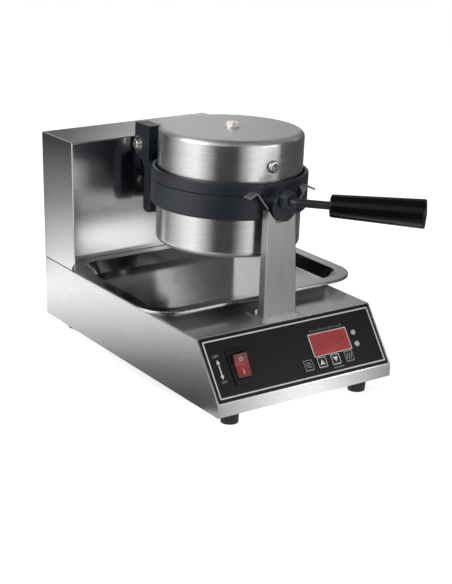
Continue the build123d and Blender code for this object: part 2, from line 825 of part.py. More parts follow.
def upper_ring():
    ring = Pos(0, HEAD_Y, PARTING) * Rot(180, 0, 0) * ring_blank(UPPER_RING_H)
    for k in SCREW_ANGLES:
        a = radians(k)
        x, y = 84.7 * cos(a), HEAD_Y + 84.7 * sin(a)
        lug = Pos(x, y, 0) * Rot(0, 0, k + 90) * box(-6, 6, -3, 2.3, PARTING + 5, PARTING + 40)
        ring += lug & disc(PARTING, PARTING + 50, COVER_R - COVER_T)
    face = DISC_Y - 0.4
    tongue = box(-9, 9, face, -137, 0.4, 20) & cyl_y(-166, -130, 0, 0, NECK_R - 0.4)
    tongue -= box(-12, 12, -138.2, -100, 0, PARTING + RING_GAP)
    tongue += box(-9, 9, face - 3, face + 1, 3, 12)
    hub = cyl_y(HUB_Y, HEAD_Y - RING_R + 4, 0, 0, HUB_R)
    hub &= box(-20, 20, HUB_Y - 1, -130, PARTING + RING_GAP, 20)
    boss = box(-10, 10, -171, face, 2.5, 10.4) + cyl_y(-171, face, 0, 10.4, 10)
    lip = [e for e in boss.edges() if e.center().Y < -170.9]
    boss = fillet(lip, 2.0)
    pad = box(-ARM_HALF, ARM_HALF, 46, 64, PARTING + RING_GAP, PARTING + UPPER_RING_H)
    pad -= disc(0, 60, 91.0)
    part = ring + tongue + hub + boss + pad
    part -= cyl_y(-175, -165, 0, PARTING, ROD_R)
    for x in (-YOKE_BOLT_X, YOKE_BOLT_X):
        part -= cyl_z(PARTING + 3, 30, x, ARM_BOLT_Y, M6)
    return part


def lid_casting():
    part = upper_ring()
    for k in SCREW_ANGLES:
        part -= cover_screw_shank(k)
    return head(part)


def cover_screw_shank(k):
    shank = cyl_x(80.5, COVER_R, 0, PARTING + SCREW_Z, M5)
    return Pos(0, HEAD_Y, 0) * Rot(0, 0, k) * shank


def cover_screws():
    out = []
    for k in SCREW_ANGLES:
        cap = cyl_x(COVER_R - 0.2, COVER_R + 5.0, 0, PARTING + SCREW_Z, 7.5)
        cap = fillet(cap.edges().sort_by(Axis.X)[-1], 2.4)
        cap -= hex_x(COVER_R + 2, COVER_R + 6, 0, PARTING + SCREW_Z, 5)
        cap -= cyl_z(0, 60, 0, 0, COVER_R)
        cap = Pos(0, HEAD_Y, 0) * Rot(0, 0, k) * cap
        out.append(head(cap + cover_screw_shank(k)))
    return out


def upper_cover():
    part = Pos(0, HEAD_Y, PARTING) * Rot(180, 0, 0) * cover_blank(UPPER_COVER_H)
    for k in SCREW_ANGLES:
        part -= cover_screw_shank(k)
    return head(part)


def upper_plate():
    return upper_half(plate_blank())


def upper_element():
    return upper_half(element_blank())


def upper_insulation():
    return upper_half(insulation_blank())


def upper_stud():
    return upper_half(stud_blank(UPPER_COVER_H))


def upper_cover_nut():
    return upper_half(nut_blank(UPPER_COVER_H))


def lid_arm():
    z0 = PARTING + UPPER_RING_H
    points = [
        (50, z0),
        (64.0, z0),
        (64.0, 10.6),
        (101.5, 14.0),
        (LID_Y, LID_Z - 10),
        (LID_Y, LID_Z + 10),
        (104, LID_Z + 10),
        (102, 40),
        (97.5, YOKE_TOP_Z),
        (90, YOKE_TOP_Z),
        (80, 37),
        (67, 34),
        (50, 34),
    ]
    part = prism_yz(points, -ARM_HALF, ARM_HALF)
    part += cyl_x(-ARM_HALF, ARM_HALF, LID_Y, LID_Z, 10.0)
    bend = [e for e in part.edges().filter_by(Axis.X) if abs(e.center().Y - 80) < 1]
    part = fillet([e for e in bend if e.center().Z > 30], 12.0)
    part -= cyl_x(-20, 20, LID_Y, LID_Z, LID_BUSH_R)
    for x in (-YOKE_BOLT_X, YOKE_BOLT_X):
        part -= cyl_z(20, 40, x, ARM_BOLT_Y, M6)
    return head(part)


def arm_bolts():
    out = []
    for x in (-YOKE_BOLT_X, YOKE_BOLT_X):
        bolt = cyl_z(PARTING + 3, 34, x, ARM_BOLT_Y, M6) + hex_z(34, 38, x, ARM_BOLT_Y, 10)
        out.append(head(bolt))
    return out


def hinge_bush():
    part = cyl_x(-CHEEK_IN_X, CHEEK_IN_X, LID_Y, LID_Z, LID_BUSH_R)
    return head(part - cyl_x(-20, 20, LID_Y, LID_Z, M8 + SHAFT_CLEAR))


# Crank handle
HANDLE_TURN_Y = -176.5
GRIP_FROM = 41.0
GRIP_TO = 149.0
GRIP_R0 = 13.2
GRIP_R1 = 17.0


def handle_rod():
    reach = (GRIP_TO - 4) / sqrt(2)
    path = FilletPolyline(
        (0, -165, PARTING),
        (0, HANDLE_TURN_Y, PARTING),
        (reach, HANDLE_TURN_Y - reach, PARTING),
        radius=12,
    )
    section = Plane(origin=(0, -165, PARTING), z_dir=(0, -1, 0)) * Circle(ROD_R)
    return head(sweep(section, path=path))


def handle_grip():
    length = GRIP_TO - GRIP_FROM
    outline = [(0, 0), (GRIP_R0, 0), (GRIP_R1, length), (0, length + 1.5)]
    face = make_face(Polyline([(x, 0, z) for x, z in outline], close=True))
    body = revolve(face, Axis.Z)
    ends = [e for e in body.edges().filter_by(GeomType.CIRCLE) if e.radius > 12]
    body = fillet(ends, 2.2)
    body -= cyl_z(-1, length - 4, 0, 0, ROD_R)
    start = GRIP_FROM / sqrt(2)
    along = Plane(
        origin=(start, HANDLE_TURN_Y - start, PARTING),
        x_dir=(0, 0, 1),
        z_dir=(1, -1, 0),
    )
    return head(along.location * body)


NODES = {
    "base_housing": base_housing,
    "front_panel": front_panel,
    "bottom_plate": bottom_plate,
    "bottom_plate_screws": bottom_plate_screws,
    "rubber_feet": rubber_feet,
    "foot_screws": foot_screws,
    "column_shell": column_shell,
    "column_back_cover": column_back_cover,
    "back_cover_screws": back_cover_screws,
    "column_screws": column_screws,
    "bearing_housing": bearing_housing,
    "bearing_studs": bearing_studs,
    "bearing_bush": bearing_bush,
    "front_post": front_post,
    "post_screws": post_screws,
    "cradle": cradle,
    "control_overlay": control_overlay,
    "display_window": display_window,
    "display_module": display_module,
    "control_board": control_board,
    "board_standoffs": board_standoffs,
    "indicator_lamps": indicator_lamps,
    "rocker_frame": rocker_frame,
    "rocker_key": rocker_key,
    "key_set": lambda: key_button(KEYS["key_set"]),
    "key_up": lambda: key_button(KEYS["key_up"]),
    "key_down": lambda: key_button(KEYS["key_down"]),
    "key_heat": lambda: key_button(KEYS["key_heat"]),
    "power_relay": power_relay,
    "terminal_block": terminal_block,
    "cable_gland": cable_gland,
    "drip_tray": drip_tray,
    "lower_ring": lower_ring,
    "rear_yoke": rear_yoke,
    "yoke_bolts": yoke_bolts,
    "trunnion_shaft": trunnion_shaft,
    "retaining_collar": retaining_collar,
    "stop_pin": stop_pin,
    "hinge_pin": hinge_pin,
    "hinge_washers": hinge_washers,
    "hinge_nut": hinge_nut,
    "lower_plate": lower_plate,
    "lower_element": lower_element,
    "lower_insulation": lower_insulation,
    "lower_cover": lower_cover,
    "lower_cover_stud": lower_stud,
    "lower_cover_nut": lower_cover_nut,
    "lid_casting": lid_casting,
    "lid_arm": lid_arm,
    "arm_bolts": arm_bolts,
    "hinge_bush": hinge_bush,
    "upper_plate": upper_plate,
    "upper_element": upper_element,
    "upper_insulation": upper_insulation,
    "upper_cover": upper_cover,
    "upper_cover_stud": upper_stud,
    "upper_cover_nut": upper_cover_nut,
    "cover_screws": cover_screws,
    "handle_rod": handle_rod,
    "handle_grip": handle_grip,
}


def solids_of(made):
    pieces = made if isinstance(made, list) else [made]
    out = []
    for piece in pieces:
        out.extend(piece.solids())
    return out


def main():
    for name, make in NODES.items():
        moved = [Pos(*SHIFT) * s for s in solids_of(make())]
        whole = moved[0] if len(moved) == 1 else Compound(children=moved)
        whole.label = name
        export_step(whole, f"parts/{name}.step")
        print(name, len(moved), "solids")


main()
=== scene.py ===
from math import atan2, cos, pi, radians, sin

import bmesh
import bpy
from mathutils import Matrix, Vector


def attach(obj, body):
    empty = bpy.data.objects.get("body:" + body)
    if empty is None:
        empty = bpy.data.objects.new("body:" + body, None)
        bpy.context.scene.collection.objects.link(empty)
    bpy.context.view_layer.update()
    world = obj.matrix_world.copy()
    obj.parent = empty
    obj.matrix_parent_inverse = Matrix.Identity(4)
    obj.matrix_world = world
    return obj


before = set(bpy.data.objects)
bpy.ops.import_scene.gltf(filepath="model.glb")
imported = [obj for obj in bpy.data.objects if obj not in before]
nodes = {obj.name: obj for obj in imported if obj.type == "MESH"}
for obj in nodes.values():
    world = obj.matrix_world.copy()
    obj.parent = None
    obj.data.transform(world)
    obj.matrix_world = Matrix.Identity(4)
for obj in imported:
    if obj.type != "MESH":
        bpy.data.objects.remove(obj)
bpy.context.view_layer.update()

UP = Vector((0, 0, 1))

# Millimetres in the machine's own frame become metres in the part's frame
MM = 0.001
SHIFT = Vector((-5.5, 33.05, 19.0))


def at(x, y, z):
    return (Vector((x, y, z)) + SHIFT) * MM


# The head leans by this much about the front to rear axis
AXIS_Z = 217.0
HEAD_LEAN = radians(2.0)
HEAD_Y = -42.0
HEAD_SPIN = Matrix.Rotation(HEAD_LEAN, 4, "Y")
HEAD_UP = HEAD_SPIN.to_3x3() @ UP

# The sloped control face: across, up the slope, and out of the face
SLOPE_FOOT = Vector((0, -212.0, 15.3))
SLOPE_TOP = Vector((0, -165.0, 80.7))
SLOPE_UP = (SLOPE_TOP - SLOPE_FOOT).normalized()
SLOPE_OUT = Vector((1, 0, 0)).cross(SLOPE_UP)
SLOPE_MID = (SLOPE_FOOT + SLOPE_TOP) / 2

# Places on the control face in millimetres from its middle: across and up
ROCKER = (-80.0, -1.0)
# The point inside the rocker where its painted glow is brightest
ROCKER_GLOW_MIDDLE = (-80.0, -3.0, 4.0)
DISPLAY = (50.2, 2.6)
LAMPS = ((87.2, 7.8), (87.2, -6.6))
KEYS = {"set": 9.5, "up": 29.5, "down": 49.5, "heat": 69.5}
KEY_ROW = -19.1


def panel_matrix(across=0.0, up=0.0, out=0.0):
    middle = SLOPE_MID + Vector((across, 0, 0)) + SLOPE_UP * up + SLOPE_OUT * out
    turn = Matrix((Vector((1, 0, 0)), SLOPE_UP, SLOPE_OUT)).transposed().to_4x4()
    return Matrix.Translation(at(*middle)) @ turn @ Matrix.Scale(MM, 4)


# Finishes
class Finish:
    """One node material around a Principled shader."""

    def __init__(self, name, colour, roughness, **plain):
        self.material = bpy.data.materials.new(name)
        self.material.use_nodes = True
        self.tree = self.material.node_tree
        self.shader = self.tree.nodes["Principled BSDF"]
        self.shader.inputs["Base Color"].default_value = (*colour, 1)
        self.shader.inputs["Roughness"].default_value = roughness
        for socket, value in plain.items():
            self.shader.inputs[socket.replace("_", " ")].default_value = value
        self.place = self.node("ShaderNodeTexCoord").outputs["Object"]

    def node(self, kind, **settings):
        made = self.tree.nodes.new(kind)
        for key, value in settings.items():
            setattr(made, key, value)
        return made

    def join(self, source, target):
        self.tree.links.new(source, target)

    def noise(self, scale, stretch=(1, 1, 1), detail=3.0, rough=0.5):
        mapping = self.node("ShaderNodeMapping")
        mapping.inputs["Scale"].default_value = stretch
        self.join(self.place, mapping.inputs["Vector"])
        made = self.node("ShaderNodeTexNoise")
        made.inputs["Scale"].default_value = scale
        made.inputs["Detail"].default_value = detail
        made.inputs["Roughness"].default_value = rough
        self.join(mapping.outputs["Vector"], made.inputs["Vector"])
        return made.outputs["Fac"]

    def spread(self, value, low, high, start=0.3, end=0.7):
        made = self.node("ShaderNodeMapRange")
        made.inputs["From Min"].default_value = start
        made.inputs["From Max"].default_value = end
        made.inputs["To Min"].default_value = low
        made.inputs["To Max"].default_value = high
        self.join(value, made.inputs["Value"])
        return made.outputs["Result"]

    def tint(self, value, dark, light, start=0.3, end=0.7):
        made = self.node("ShaderNodeValToRGB")
        made.color_ramp.elements[0].position = start
        made.color_ramp.elements[0].color = (*dark, 1)
        made.color_ramp.elements[1].position = end
        made.color_ramp.elements[1].color = (*light, 1)
        self.join(value, made.inputs["Fac"])
        return made.outputs["Color"]

    def maths(self, operation, first, second=None):
        made = self.node("ShaderNodeMath", operation=operation)
        for value, socket in ((first, made.inputs[0]), (second, made.inputs[1])):
            if isinstance(value, (int, float)):
                socket.default_value = value
            elif value is not None:
                self.join(value, socket)
        return made.outputs[0]

    def vectors(self, operation, first, second=None):
        made = self.node("ShaderNodeVectorMath", operation=operation)
        for value, socket in ((first, made.inputs[0]), (second, made.inputs[1])):
            if isinstance(value, (tuple, Vector)):
                socket.default_value = tuple(value)
            elif value is not None:
                self.join(value, socket)
        return made.outputs[0]

    def blend(self, factor, first, second):
        made = self.node("ShaderNodeMix", data_type="FLOAT")
        for value, socket in zip((factor, first, second), made.inputs[0:1] + made.inputs[2:4]):
            if isinstance(value, (int, float)):
                socket.default_value = value
            else:
                self.join(value, socket)
        return made.outputs[0]

    def set(self, socket, value):
        self.join(value, self.shader.inputs[socket])

    def relief(self, value, strength, depth, edge=0.0):
        bump = self.node("ShaderNodeBump")
        bump.inputs["Strength"].default_value = strength
        bump.inputs["Distance"].default_value = depth
        self.join(value, bump.inputs["Height"])
        if edge:
            soft = self.node("ShaderNodeBevel", samples=4)
            soft.inputs["Radius"].default_value = edge
            self.join(soft.outputs["Normal"], bump.inputs["Normal"])
        self.join(bump.outputs["Normal"], self.shader.inputs["Normal"])

    def facing(self, axis):
        """How squarely a face looks along the body's own axis: 0 to 1, in the object's frame."""
        turned = self.node("ShaderNodeVectorTransform", vector_type="NORMAL")
        turned.convert_from = "WORLD"
        turned.convert_to = "OBJECT"
        self.join(self.node("ShaderNodeNewGeometry").outputs["True Normal"], turned.inputs[0])
        made = self.node("ShaderNodeVectorMath", operation="DOT_PRODUCT")
        self.join(turned.outputs[0], made.inputs[0])
        made.inputs[1].default_value = tuple(axis)
        return self.maths("ABSOLUTE", made.outputs["Value"])

    def grain_across(self, vector):
        """The direction that the gloss is drawn out in, given in the object's frame."""
        turned = self.node("ShaderNodeVectorTransform", vector_type="VECTOR")
        turned.convert_from = "OBJECT"
        turned.convert_to = "WORLD"
        if isinstance(vector, (tuple, Vector)):
            turned.inputs[0].default_value = tuple(vector)
        else:
            self.join(vector, turned.inputs[0])
        self.join(turned.outputs[0], self.shader.inputs["Tangent"])


STEEL = (0.61, 0.62, 0.615)
# Shares of a steel's colour between which its grain runs
DULL = 0.91
KEEN = 1.05
# Noise scales across and along the brushing, for the fine grain and for the wide streaks
FINE, SHORT = 1000, 60
WIDE, LONG = 260, 16
# How strongly the grain stands out, and how deep it is in metres
GRAIN_STRENGTH = 0.03
GRAIN_DEPTH = 0.00002


def shades(colour):
    return [tuple(c * share for c in colour) for share in (DULL, KEEN)]


def sheet_steel(name, tone=1.0, roughness=0.21, anisotropy=0.6, upright=False, level_tone=None):
    """Brushed sheet: the grain runs level on upright faces, or straight up where asked."""
    # A tone under 1 darkens the steel's colour: painted shade on the post and the cradle strip
    colour = tuple(c * tone for c in STEEL)
    made = Finish(name, colour, roughness, Metallic=1.0, Anisotropic=anisotropy)
    flat = made.spread(made.facing((0, 0, 1)), 0, 1, 0.4, 0.9)
    side_grain = made.noise(1.0, (FINE, FINE, SHORT) if upright else (SHORT, SHORT, FINE), 2, 0.6)
    side_streak = made.noise(1.0, (WIDE, WIDE, LONG) if upright else (LONG, LONG, WIDE), 2, 0.5)
    grain = made.blend(flat, side_grain, made.noise(1.0, (FINE, SHORT, SHORT), 2, 0.6))
    streak = made.blend(flat, side_streak, made.noise(1.0, (WIDE, LONG, LONG), 2, 0.5))
    cloud = made.noise(9, (1, 1, 1), 3)
    mixed = made.blend(0.2, grain, streak)
    brushed_gloss = made.spread(mixed, roughness - 0.03, roughness + 0.04)
    hand_gloss = made.spread(cloud, roughness - 0.03, roughness + 0.03)
    gloss = made.blend(0.5, brushed_gloss, hand_gloss)
    brushed = made.tint(mixed, *shades(colour))
    if level_tone:
        # Level faces take more wear, so they are duller and warmer
        gloss = made.maths("ADD", gloss, made.maths("MULTIPLY", flat, 0.12))
        worn = made.tint(cloud, tuple(c * 0.9 for c in level_tone), level_tone)
        both = made.node("ShaderNodeMix", data_type="RGBA")
        made.join(flat, both.inputs[0])
        made.join(brushed, both.inputs[6])
        made.join(worn, both.inputs[7])
        brushed = both.outputs[2]
    made.set("Roughness", gloss)
    made.set("Base Color", brushed)
    if upright:
        made.grain_across((1, 0, 0))
    else:
        across = made.node("ShaderNodeCombineXYZ")
        made.join(flat, across.inputs[0])
        made.join(made.maths("SUBTRACT", 1.0, flat), across.inputs[2])
        made.grain_across(across.outputs[0])
    made.relief(grain, GRAIN_STRENGTH, GRAIN_DEPTH, 0.0006)
    return made.material


def spun_steel(name):
    """Cover cups: brushed round the side, satin on the flat end."""
    made = Finish(name, STEEL, 0.24, Metallic=1.0, Anisotropic=0.7)
    flat = made.spread(made.facing(HEAD_UP), 0, 1, 0.15, 0.85)
    rings = made.noise(1.0, (40, 40, FINE), 2, 0.6)
    bands = made.noise(1.0, (12, 12, WIDE), 2, 0.5)
    satin = made.noise(900, (1, 1, 1), 2)
    brushed = made.blend(0.2, rings, bands)
    grain = made.blend(flat, brushed, satin)
    side_gloss = made.spread(brushed, 0.21, 0.27)
    end_gloss = made.spread(satin, 0.46, 0.52)
    made.set("Roughness", made.blend(flat, side_gloss, end_gloss))
    made.set("Base Color", made.tint(grain, *shades(STEEL)))
    made.grain_across(HEAD_UP)
    made.relief(grain, GRAIN_STRENGTH, GRAIN_DEPTH)
    return made.material


def tray_steel(name):
    """Pressed bright sheet, smooth enough to mirror what stands over it."""
    made = Finish(name, (0.54, 0.54, 0.545), 0.1, Metallic=1.0)
    cloud = made.noise(12, (1, 1, 1), 4)
    fine = made.noise(1.0, (900, 10, 900), 3, 0.6)
    cloud_gloss = made.spread(cloud, 0.1, 0.17)
    fine_gloss = made.spread(fine, 0.1, 0.16)
    made.set("Roughness", made.blend(0.5, cloud_gloss, fine_gloss))
    made.set("Base Color", made.tint(fine, (0.5, 0.5, 0.505), (0.57, 0.57, 0.58)))
    made.relief(cloud, 0.02, 0.0001, 0.0008)
    return made.material


def bright_steel(name, colour=(0.72, 0.71, 0.7), roughness=0.18):
    made = Finish(name, colour, roughness, Metallic=1.0)
    smear = made.noise(140, (1, 1, 1), 3)
    made.set("Roughness", made.spread(smear, roughness - 0.05, roughness + 0.1))
    made.set("Base Color", made.tint(smear, tuple(c * 0.85 for c in colour), colour))
    made.relief(smear, 0.1, 0.0001, 0.0003)
    return made.material


def powder_coat(name, dark, light, roughness=0.5, grit=1500, strength=0.35):
    """Cast metal under a slate coating, with the faint orange peel of a sprayed finish."""
    made = Finish(name, light, roughness)
    peel = made.noise(grit, (1, 1, 1), 3, 0.55)
    cloud = made.noise(22, (1, 1, 1), 4)
    made.set("Base Color", made.tint(cloud, dark, light))
    cloud_gloss = made.spread(cloud, roughness - 0.06, roughness + 0.06)
    peel_gloss = made.spread(peel, roughness - 0.05, roughness + 0.08)
    made.set("Roughness", made.blend(0.5, cloud_gloss, peel_gloss))
    made.relief(peel, strength, 0.00012, 0.0007)
    return made.material


def moulded(name, colour, roughness, grit=2200, strength=0.15, edge=0.0004, **plain):
    """Moulded plastic or rubber with a fine skin."""
    made = Finish(name, colour, roughness, **plain)
    skin = made.noise(grit, (1, 1, 1), 2)
    wipe = made.noise(35, (1, 1, 1), 3)
    made.set("Roughness", made.spread(wipe, roughness * 0.8, min(1, roughness * 1.25)))
    worn = tuple(c * 0.85 for c in colour)
    clean = tuple(min(1, c * 1.1) for c in colour)
    made.set("Base Color", made.tint(wipe, worn, clean))
    made.relief(skin, strength, 0.00008, edge)
    return made.material


def clear_moulded(name, glow_red, rim, middle, reach, roughness):
    """Clear red plastic with a painted glow: the base colour is brightest round its hollow middle,
    with painted shade darkening it towards its walls.
    """
    made = Finish(name, glow_red, roughness, Specular_IOR_Level=0.3, Coat_Weight=0.15,
                  Coat_Roughness=0.1)
    away = made.node("ShaderNodeVectorMath", operation="DISTANCE")
    made.join(made.place, away.inputs[0])
    away.inputs[1].default_value = tuple(middle)
    ribs = made.noise(420, (1, 1, 1), 2)
    # Painted glow and painted shade: how far a point lies from the glowing middle, softened by the
    # ribs
    depth = made.blend(0.12, made.spread(away.outputs["Value"], 0, 1, reach * 0.25, reach), ribs)
    made.set("Base Color", made.tint(depth, glow_red, rim, 0.0, 1.0))
    wipe = made.noise(60, (1, 1, 1), 3)
    made.set("Roughness", made.spread(wipe, roughness * 0.8, roughness * 1.3))
    made.relief(ribs, 0.04, 0.00008, 0.0006)
    return made.material


def printed(name, colour, roughness=0.45):
    made = Finish(name, colour, roughness)
    ink = made.noise(700, (1, 1, 1), 2)
    made.set("Base Color", made.tint(ink, tuple(c * 0.9 for c in colour), colour))
    return made.material


def bronze(name):
    made = Finish(name, (0.5, 0.33, 0.16), 0.3, Metallic=1.0)
    turned = made.noise(1, (60, 900, 60), 3)
    made.set("Roughness", made.spread(turned, 0.24, 0.4))
    made.relief(turned, 0.2, 0.0001)
    return made.material


def wool(name):
    made = Finish(name, (0.72, 0.69, 0.6), 0.95)
    fibre = made.noise(420, (1, 1, 3), 5, 0.7)
    made.set("Base Color", made.tint(fibre, (0.5, 0.46, 0.38), (0.82, 0.79, 0.7)))
    made.relief(fibre, 0.8, 0.0008)
    return made.material


LOOKS = {
    "sheet": sheet_steel("brushed_sheet_steel"),
    "column": sheet_steel("column_sheet_steel", 1.0, 0.165, 0.55),
    "deck": sheet_steel("deck_sheet_steel", level_tone=(0.62, 0.608, 0.585)),
    # Painted shade: the post is the sheet steel darkened to 0.84 of its colour; its rougher,
    # upright grain is its own
    "post": sheet_steel("post_painted_shade_steel", 0.84, 0.34, 0.7, True),
    # Painted shade: the cradle strip is the sheet steel darkened to 0.36 of its colour, standing in
    # for the dark ring it mirrors
    "strip": sheet_steel("bent_strip_painted_shade_steel", 0.36, 0.12, 0.2),
    "spun": spun_steel("spun_cover_steel"),
    "tray": tray_steel("tray_steel"),
    "bright": bright_steel("bright_fastener_steel"),
    "pale_nut": bright_steel("pale_cap_nut", (0.86, 0.8, 0.76), 0.24),
    "coating": powder_coat("slate_coating", (0.0075, 0.0105, 0.019), (0.0125, 0.017, 0.03), 0.4),
    "rod": powder_coat("slate_rod", (0.01, 0.0115, 0.015), (0.017, 0.019, 0.024), 0.36),
    "non_stick": powder_coat("non_stick_coating", (0.012, 0.012, 0.013), (0.022, 0.022, 0.024),
                             0.38, 2600, 0.2),
    "casting": powder_coat("bearing_casting", (0.11, 0.115, 0.12), (0.17, 0.175, 0.18), 0.55),
    "grip": moulded("black_grip", (0.004, 0.004, 0.0045), 0.16, 900, 0.04,
                    Specular_IOR_Level=0.22, Coat_Weight=0.1, Coat_Roughness=0.08),
    "rubber": moulded("foot_rubber", (0.012, 0.012, 0.013), 0.6),
    "black_plastic": moulded("switch_plastic", (0.006, 0.006, 0.007), 0.32,
                             Specular_IOR_Level=0.25),
    "overlay": moulded("control_film", (0.009, 0.009, 0.0095), 0.4, 3000, 0.08, 0.0,
                       Specular_IOR_Level=0.22),
    # The rocker's glow is painted: bright red at its middle, painted shade towards its walls
    "rocker": clear_moulded("red_rocker_plastic", (0.42, 0.007, 0.008), (0.07, 0.004, 0.006),
                            panel_matrix(*ROCKER_GLOW_MIDDLE).translation, 0.0145, 0.2),
    "window": moulded("red_window", (0.46, 0.022, 0.022), 0.3, 2600, 0.08),
    "lamp": moulded("clear_lamp", (0.55, 0.57, 0.58), 0.15, 900, 0.05),
    "ink": printed("white_ink", (0.78, 0.78, 0.78)),
    "grey_ink": printed("grey_ink", (0.36, 0.36, 0.36)),
    "digit": printed("display_digit", (0.28, 0.012, 0.012), 0.3),
    "bronze": bronze("bush_bronze"),
    "wool": wool("insulation_wool"),
    "board": moulded("circuit_board", (0.02, 0.11, 0.04), 0.4),
    "nylon": moulded("pale_nylon", (0.6, 0.6, 0.57), 0.45),
}

NODE_LOOKS = {
    "sheet": "front_panel bottom_plate column_back_cover",
    "column": "column_shell",
    "deck": "base_housing",
    "post": "front_post",
    "strip": "cradle",
    "spun": "lower_cover upper_cover",
    "tray": "drip_tray",
    "bright": "bottom_plate_screws foot_screws back_cover_screws column_screws post_screws "
    "bearing_studs trunnion_shaft stop_pin hinge_pin hinge_washers hinge_nut yoke_bolts arm_bolts "
    "cover_screws lower_cover_stud lower_cover_nut upper_cover_stud",
    "pale_nut": "upper_cover_nut",
    "coating": "lower_ring rear_yoke lid_casting lid_arm",
    "rod": "handle_rod",
    "non_stick": "lower_plate upper_plate",
    "casting": "bearing_housing retaining_collar lower_element upper_element",
    "grip": "handle_grip",
    "rubber": "rubber_feet cable_gland",
    "black_plastic": "rocker_frame key_set key_up key_down key_heat power_relay display_module",
    "overlay": "control_overlay",
    "rocker": "rocker_key",
    "window": "display_window",
    "lamp": "indicator_lamps",
    "bronze": "bearing_bush hinge_bush",
    "wool": "lower_insulation upper_insulation",
    "board": "control_board",
    "nylon": "board_standoffs terminal_block",
}

for look, names in NODE_LOOKS.items():
    for name in names.split():
        slots = nodes[name].data.materials
        slots.clear()
        slots.append(LOOKS[look])


# Pieces
def piece(name, shape, look, body):
    """A bmesh becomes a named mesh that rides on a body."""
    mesh = bpy.data.meshes.new(name)
    bmesh.ops.recalc_face_normals(shape, faces=shape.faces)
    shape.to_mesh(mesh)
    shape.free()
    made = bpy.data.objects.new(name, mesh)
    bpy.context.scene.collection.objects.link(made)
    mesh.materials.append(LOOKS[look])
    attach(made, body)


# Heights in millimetres: printed ink, its thinner form, the film, and the top of each key cap
INK = 0.06
THIN_INK = 0.05
FILM = 0.5
CAP = 1.6


def thicken(shape, faces, thick):
    grown = bmesh.ops.extrude_face_region(shape, geom=faces)
    moved = [v for v in grown["geom"] if isinstance(v, bmesh.types.BMVert)]
    bmesh.ops.translate(shape, verts=moved, vec=(0, 0, thick))


def flat_polygon(shape, points, thick):
    corners = [shape.verts.new((x, y, 0)) for x, y in points]
    thicken(shape, [shape.faces.new(corners)], thick)


def frame_line(shape, across, up, width, height, line, radius, thick=INK, steps=5):
    """A closed rounded rectangle drawn as one even line."""
    def rounded(w, h, r):
        out = []
        for k, (sx, sy) in enumerate(((1, 1), (-1, 1), (-1, -1), (1, -1))):
            for s in range(steps + 1):
                a = radians(90 * k + 90 * s / steps)
                x = across + sx * (w / 2 - r) + r * cos(a)
                y = up + sy * (h / 2 - r) + r * sin(a)
                out.append((x, y))
        return out

    outer = rounded(width, height, radius)
    inner = rounded(width - 2 * line, height - 2 * line, max(0.2, radius - line))
    rings = []
    for ring in (outer, inner):
        made = [shape.verts.new((x, y, 0)) for x, y in ring]
        pairs = zip(made, made[1:] + made[:1])
        rings.append([shape.edges.new(pair) for pair in pairs])
    bridged = bmesh.ops.bridge_loops(shape, edges=rings[0] + rings[1])
    thicken(shape, bridged["faces"], thick)


def placed(shape, matrix):
    bmesh.ops.transform(shape, matrix=matrix, verts=shape.verts)
    return shape


def bar(shape, x0, x1, y0, y1, thick=INK):
    flat_polygon(shape, [(x0, y0), (x1, y0), (x1, y1), (x0, y1)], thick)


def disc(shape, x, y, radius, thick=INK, inner=0.0, count=32):
    if inner:
        line = radius - inner
        frame_line(shape, x, y, 2 * radius, 2 * radius, line, radius - 0.001, thick, count // 4)
        return
    turns = [2 * pi * k / count for k in range(count)]
    flat_polygon(shape, [(x + radius * cos(a), y + radius * sin(a)) for a in turns], thick)


border = bmesh.new()
frame_line(border, 0, 0.3, 238.8, 69.6, 1.7, 1.9)
piece("panel_border", placed(border, panel_matrix(out=FILM)), "ink", "base")

display_line = bmesh.new()
frame_line(display_line, *DISPLAY, 56.4, 28.4, 1.1, 0.8)
piece("display_border", placed(display_line, panel_matrix(out=FILM)), "ink", "base")

arrow = bmesh.new()
bar(arrow, -0.75, 0.75, -7.5, 7.0)
flat_polygon(arrow, [(-2.6, 6.9), (2.6, 6.9), (0, 11.7)], INK)
flat_polygon(arrow, [(-2.6, -7.4), (0, -12.2), (2.6, -7.4)], INK)
piece("switch_arrow", placed(arrow, panel_matrix(-107.3, -0.2, FILM)), "ink", "base")


# Height of the switch words, and half the thickness of their ink
WORD_SIZE = 4.6
WORD_HALF = 0.03


def lettering(name, text, across, up):
    """A printed word on the film, turned into a mesh."""
    curve = bpy.data.curves.new(name, "FONT")
    curve.body = text
    curve.size = WORD_SIZE
    curve.align_x = "CENTER"
    curve.align_y = "CENTER"
    curve.extrude = WORD_HALF
    shown = bpy.data.objects.new(name, curve)
    bpy.context.scene.collection.objects.link(shown)
    bpy.context.view_layer.update()
    mesh = bpy.data.meshes.new_from_object(shown)
    bpy.data.objects.remove(shown)
    shape = bmesh.new()
    shape.from_mesh(mesh)
    bpy.data.meshes.remove(mesh)
    bmesh.ops.translate(shape, verts=shape.verts, vec=(0, 0, WORD_HALF))
    bmesh.ops.remove_doubles(shape, verts=shape.verts, dist=0.001)
    piece(name, placed(shape, panel_matrix(across, up, FILM)), "grey_ink", "base")


lettering("off_word", "OFF", -107.8, 15.6)
lettering("on_word", "ON", -107.0, -15.4)

# A plain scale of short marks over the display, and one under the keys
marks = bmesh.new()
for k in range(16):
    x = 27.6 + 3 * k
    bar(marks, x - 0.3, x + 0.3, 18.7, 22.1 if k % 5 == 0 else 20.9)
for k in range(5):
    x = 44.2 + 3.1 * k
    bar(marks, x, x + 1.8, -29.6, -28.2)
piece("panel_marks", placed(marks, panel_matrix(out=FILM)), "grey_ink", "base")

for k, (across, up) in enumerate(LAMPS):
    rim = bmesh.new()
    disc(rim, across, up, 3.5, 0.5, 2.55)
    piece(f"lamp_rim_{k + 1}", placed(rim, panel_matrix(out=FILM)), "bright", "base")

